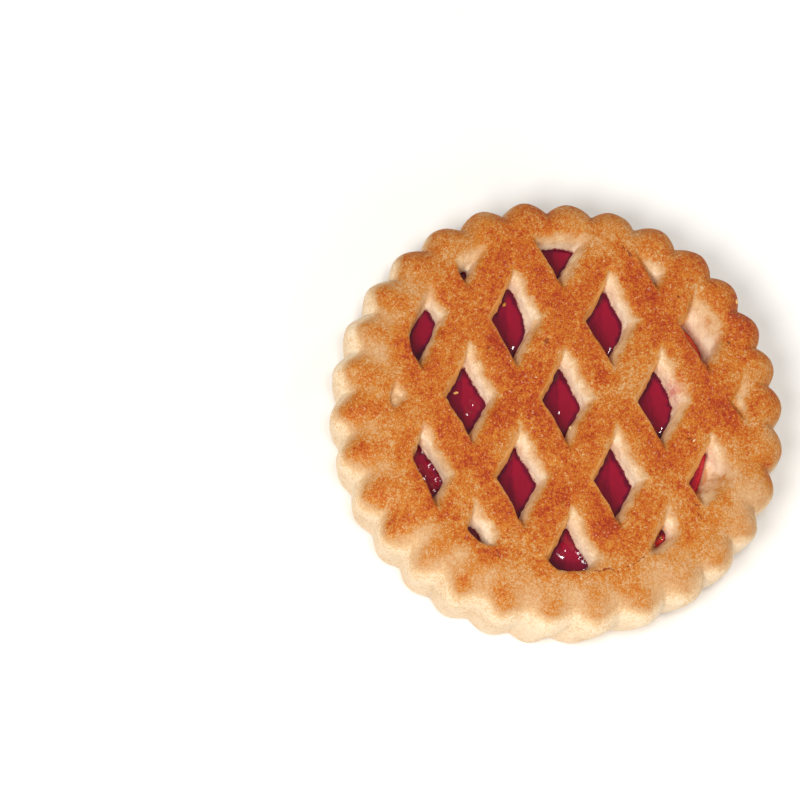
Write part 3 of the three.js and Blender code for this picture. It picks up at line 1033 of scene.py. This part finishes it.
def jam_height(x, y):
    """The jam's surface: domed in each opening and climbing its walls a little."""
    first, second, window = [inside for inside, _ in walls(x, y)]
    wall = np.minimum.reduce([first, second, window]) - spots(FOOT_BULGES, x, y)
    climb = 0.30 * np.exp(-np.maximum(wall, 0) / 0.45)
    dome = 0.22 * ramp(-0.5, 2.4, smooth_min(smooth_min(first, second, 3.0), window, 3.0))
    swell = 0.10 * layered(61, 3.0, 2, x, y)
    fall = spots(JAM_FALLS, x, y + 3.5) * ramp(-3.2, -5.4, cell(x, y)[1])
    full = BASE_TOP - 0.12 + climb + dome + swell - fall + spots(JAM_BUMPS, x, y)
    from_bubble = np.hypot(x - BUBBLE_X, y - BUBBLE_Y)
    full = full + 0.20 * np.exp(-(((from_bubble - BUBBLE_RADIUS) / 0.3) ** 2))
    full = full - 0.12 * ramp(BUBBLE_RADIUS, 0.5, from_bubble)
    return full - (full - JAM_WELL - 0.4) * ramp(-0.9, 0.15, jam_edge(x, y))


def jam_painted_light(x, y):
    """Painted light in the jam's colour, where light would come through: right of the middle of each
    opening, off its walls and towards the right; painted shade along the walls, at the near corners and
    near the rim.
    """
    across, along = cell(x, y)
    wall = np.minimum.reduce([inside for inside, _ in walls(x, y)]) - spots(FOOT_BULGES, x, y)
    right = ramp(-0.5, 0.1, across + 0.35 * layered(62, 3.0, 2, x, y))
    streaks = 0.16 * noise(64, across / 0.45, along / 4.0, np.round(y / (STRIP_PITCH / 2)))
    off_wall = ramp(0.1, 0.9, wall + 0.25 * noise(63, x / 0.8, y / 0.8))
    near_rim = 1 - 0.6 * ramp(-27.0, -28.2, y)
    lit = 0.48 + 0.22 * ramp(-4.0, 8.0, x) + streaks * ramp(-5.0, -2.0, along)
    lit = lit + 0.62 * right * ramp(-5.5, -2.5, along) + spots(JAM_PAINTED_LIGHT, x, y)
    return lit * near_rim * (0.15 + 0.85 * off_wall)


def jam_grid():
    """Places on a grid inside the jam's outline, and the quads between them."""
    count = int(2 * (JAM_RADIUS + 0.5) / JAM_GRID)
    steps = np.linspace(-1, 1, count) * (JAM_RADIUS + 0.4)
    gx, gy = np.meshgrid(JAM_X + steps, JAM_Y + steps, indexing="ij")
    inside = jam_edge(gx, gy) < 0.15
    keep = inside[:-1, :-1] & inside[1:, :-1] & inside[:-1, 1:] & inside[1:, 1:]
    index = np.arange(count * count).reshape(count, count)
    quads = np.stack([index[:-1, :-1], index[1:, :-1], index[1:, 1:], index[:-1, 1:]], -1)[keep]
    used = np.unique(quads)
    renumber = np.zeros(count * count, np.int64)
    renumber[used] = np.arange(len(used))
    return gx.ravel()[used], gy.ravel()[used], renumber[quads]


def thickened(quads, count):
    """A solid's faces from its upper sheet's; as many lower points follow the upper ones."""
    edges = np.concatenate([quads[:, [i, (i + 1) % 4]] for i in range(4)])
    key = edges[:, 0] * (count + 1) + edges[:, 1]
    reverse = edges[:, 1] * (count + 1) + edges[:, 0]
    a, b = edges[~np.isin(key, reverse)].T
    sides = np.stack([b, a, a + count, b + count], 1)
    return np.concatenate([quads, quads[:, ::-1] + count, sides])


def build_jam():
    x, y, quads = jam_grid()
    top = np.stack([x, y, jam_height(x, y)], 1)
    bottom = np.stack([x, y, np.full(len(x), JAM_BOTTOM)], 1)
    points = inside_box(np.concatenate([top, bottom]))
    thin_side = ramp(0.55, 0.72, np.cos(np.arctan2(y - JAM_Y, x - JAM_X) - THIN_SIDE))
    shades = {
        "painted_light": jam_painted_light(x, y),
        "thin": thin_side * ramp(-2.4, -0.8, jam_edge(x, y)),
        "toasted": np.minimum(spots(TOASTED, x, y), 1),
    }
    shades = {key: np.tile(values, 2) for key, values in shades.items()}
    made = mesh_object("jam", points, thickened(quads, len(x)), jam_material(), shades)
    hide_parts("jam_filling")
    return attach(made, "root")


def dough_height(x, y):
    """Height of the dough's upper surface at one place."""
    heights = np.arange(8.0, THICKNESS, 0.05)
    inside = dough(np.full(len(heights), float(x)), np.full(len(heights), float(y)), heights) < 0
    return heights[inside].max()


def build_crumbs():
    points, quads, browning, count = [], [], [], 0
    for number, (x, y, length, slimness, turn, tone) in enumerate(CRUMBS):
        spacing = length / CRUMB_CELLS
        steps = np.arange(1 - CRUMB_CELLS, CRUMB_CELLS) * spacing
        gx, gy, gz = np.meshgrid(steps, steps, steps, indexing="ij")
        c, s = math.cos(math.radians(turn)), math.sin(math.radians(turn))
        along, beside = c * gx + s * gy, (c * gy - s * gx) / slimness
        lumps = [axis * 2.6 / length + 9.7 * number for axis in (gx, gy, gz)]
        reach = np.sqrt(along**2 + beside**2 + (gz / 0.65) ** 2)
        shape = reach - length / 2 * (0.85 + 0.30 * noise(71, *lumps))
        found, faces = surface_nets(shape, steps[0], spacing)
        place = np.array([float(x)]), np.array([float(y)])
        inside = min(inside[0] for inside, _ in walls(*place))
        rest = jam_height(*place)[0] if inside > 0 else dough_height(x, y)
        points.append(found + [x, y, rest + 0.1 * length])
        quads.append(faces + count)
        browning.append(np.full(len(found), tone))
        count += len(found)
    points = inside_box(np.concatenate(points))
    shades = {"browning": np.concatenate(browning)}
    made = mesh_object("crumbs", points, np.concatenate(quads), crumb_material(), shades)
    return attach(made, "root")


# ---------------------------------------------------------------- stage
def build_floor():
    corners = [(x, y, -FLOOR_DROP) for x, y in ((-1, -1), (1, -1), (1, 1), (-1, 1))]
    points = np.array(corners) * [FLOOR_REACH, FLOOR_REACH, 1]
    floor = mesh_object("floor", points, [[0, 1, 2, 3]], floor_material())


def direction(azimuth, elevation):
    a, e = math.radians(azimuth), math.radians(elevation)
    return Vector((math.cos(a) * math.cos(e), math.sin(a) * math.cos(e), math.sin(e)))


def soft_light(name, azimuth, elevation, distance, size, power, colour):
    light = bpy.data.lights.new(name, "AREA")
    light.shape = "DISK"
    light.size = size
    light.energy = power
    light.color = colour
    made = bpy.data.objects.new(name, light)
    made.location = direction(azimuth, elevation) * distance
    made.rotation_mode = "QUATERNION"
    made.rotation_quaternion = direction(azimuth, elevation).to_track_quat("Z", "Y")
    bpy.context.scene.collection.objects.link(made)


def build_lights():
    bpy.context.scene.view_settings.view_transform = "Standard"
    world = bpy.data.worlds.new("studio")
    world.use_nodes = True
    world.node_tree.nodes["Background"].inputs[0].default_value = SKY_COLOUR
    world.node_tree.nodes["Background"].inputs[1].default_value = SKY_STRENGTH
    bpy.context.scene.world = world
    for light in LIGHTS:
        soft_light(*light)


def build_camera():
    data = bpy.data.cameras.new("camera")
    data.lens = LENS
    data.clip_start, data.clip_end = 0.05, 20
    camera = bpy.data.objects.new("camera", data)
    bpy.context.scene.collection.objects.link(camera)
    a, e = math.radians(CAMERA_AZIMUTH), math.radians(CAMERA_ELEVATION)
    side = Vector((math.cos(a), -math.sin(a), 0))
    back = Vector((-math.sin(a) * math.cos(e), -math.cos(a) * math.cos(e), math.sin(e)))
    over = back.cross(side)
    roll = math.radians(CAMERA_ROLL)
    right = side * math.cos(roll) - over * math.sin(roll)
    up = side * math.sin(roll) + over * math.cos(roll)
    aim = Vector((0, 0, THICKNESS * MM)) + right * LOOK_RIGHT * MM + up * LOOK_UP * MM
    distance = PICTURE_WIDTH * MM * LENS / data.sensor_width
    camera.location = aim + back * distance
    camera.rotation_mode = "QUATERNION"
    axes = [[right[i], up[i], back[i]] for i in range(3)]
    camera.rotation_quaternion = Matrix(axes).to_quaternion()
    bpy.context.scene.camera = camera


build_dough()
build_jam()
build_crumbs()
build_floor()
build_lights()
build_camera()
